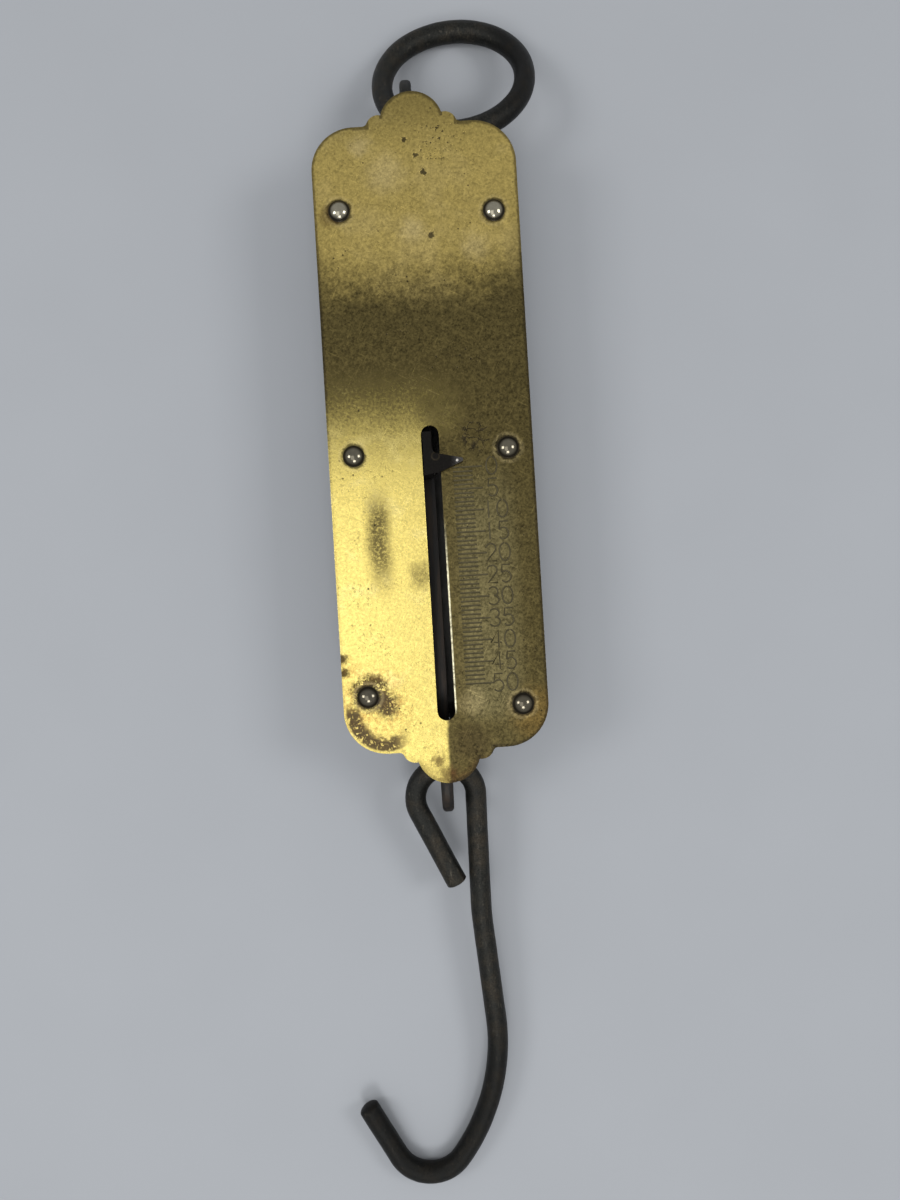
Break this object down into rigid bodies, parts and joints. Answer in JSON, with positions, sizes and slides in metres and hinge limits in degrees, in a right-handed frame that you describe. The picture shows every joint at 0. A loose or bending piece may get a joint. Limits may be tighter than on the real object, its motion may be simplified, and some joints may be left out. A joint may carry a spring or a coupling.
{
  "type": "spring balance",
  "caption": "Straight spring balance: brass face with a slotted scale and pointer, pressed back, hanging ring above, sliding draw bar with a load hook below.",
  "frame": {"origin": "centre of the flat spine on the back, which the balance lies on", "axes": "+Z out of the brass face, +Y towards the hanging ring, -Y towards the load hook"},
  "size_m": [0.0594, 0.2972, 0.0245],
  "materials": {
    "face_brass": "aged satin brass with dark pits and scratches",
    "case_steel": "darkened pressed sheet steel",
    "rivet_steel": "bright domed steel",
    "black_steel": "blackened wire, slightly rough",
    "spring_steel": "oiled spring steel",
    "bar_steel": "brown patina",
    "pointer_steel": "dark grey, worn bright at the tip"
  },
  "bodies": {
    "case": {"face_plate": "face_brass", "back_shell": "case_steel", "rivet_top_left": "rivet_steel", "rivet_top_right": "rivet_steel", "rivet_middle_left": "rivet_steel", "rivet_middle_right": "rivet_steel", "rivet_bottom_left": "rivet_steel", "rivet_bottom_right": "rivet_steel", "top_eye": "black_steel", "top_cross_pin": "spring_steel", "upper_spring_nut": "spring_steel", "spring": "spring_steel"},
    "draw_bar": {"lower_spring_nut": "spring_steel", "draw_bar": "bar_steel", "pointer": "pointer_steel", "pointer_rivet_upper": "spring_steel", "pointer_rivet_lower": "spring_steel"},
    "hanging_ring": {"hanging_ring": "black_steel"},
    "hook": {"hook": "black_steel"}
  },
  "joints": [
    {"name": "draw_bar_slide", "type": "slide", "parent": "case", "child": "draw_bar", "axis": [0, -1, 0], "range_m": [0, 0.0555], "stiffness_N_per_m": 4378, "deforming": ["spring"]},
    {"name": "ring_swing", "type": "hinge", "parent": "case", "child": "hanging_ring", "pos_m": [-0.001, 0.0795, 0.0112], "axis": [1, 0, 0], "range_deg": [-100, 89]},
    {"name": "hook_swing", "type": "hinge", "parent": "draw_bar", "child": "hook", "pos_m": [-0.001, -0.0819, 0.0112], "axis": [1, 0, 0], "range_deg": [-95, 110]}
  ]
}
